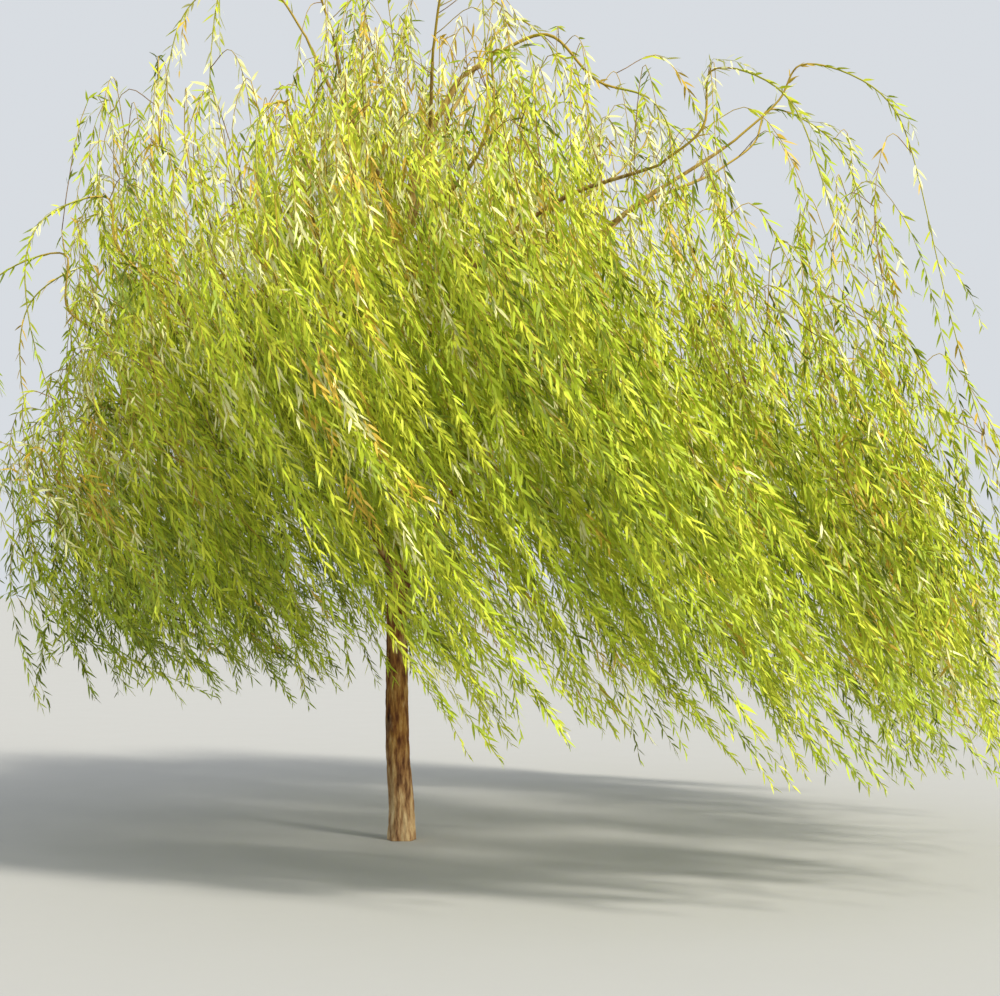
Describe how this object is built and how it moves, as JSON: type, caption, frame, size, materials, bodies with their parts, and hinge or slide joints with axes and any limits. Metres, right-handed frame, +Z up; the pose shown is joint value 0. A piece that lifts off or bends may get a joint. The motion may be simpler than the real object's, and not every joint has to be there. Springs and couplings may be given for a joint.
{
  "type": "weeping willow sapling",
  "caption": "Young weeping willow on a slim upright trunk, its arching boughs hung with long leafy twigs that the breeze carries to one side.",
  "frame": {"origin": "centre of the trunk's flat foot, at ground level", "axes": "+Z up, +X downwind, which is the picture's right, and +Y away from the picture's camera"},
  "size_m": [5.4646, 5.101, 4.4428],
  "materials": {
    "bark": "rough, furrowed",
    "foliage": "satin leaves"
  },
  "bodies": {
    "root": {"trunk": "bark", "main_bough_1": "bark", "main_bough_2": "bark", "main_bough_3": "bark", "main_bough_4": "bark", "main_bough_5": "bark", "main_bough_6": "bark", "side_bough_1": "bark", "side_bough_2": "bark", "side_bough_3": "bark", "side_bough_4": "bark", "side_bough_5": "bark", "side_bough_6": "bark", "upper_bough_1": "bark", "upper_bough_2": "bark", "upper_bough_3": "bark", "upper_bough_4": "bark", "upper_bough_5": "bark", "inner_foliage_1": "foliage", "inner_foliage_2": "foliage", "inner_foliage_3": "foliage", "inner_foliage_4": "foliage", "inner_foliage_5": "foliage", "inner_foliage_6": "foliage", "outer_foliage_1": "foliage", "outer_foliage_2": "foliage", "outer_foliage_3": "foliage", "outer_foliage_4": "foliage", "outer_foliage_5": "foliage", "outer_foliage_6": "foliage", "outer_foliage_7": "foliage", "outer_foliage_8": "foliage", "outer_foliage_9": "foliage", "outer_foliage_10": "foliage", "outer_foliage_11": "foliage", "outer_foliage_12": "foliage"}
  },
  "joints": []
}
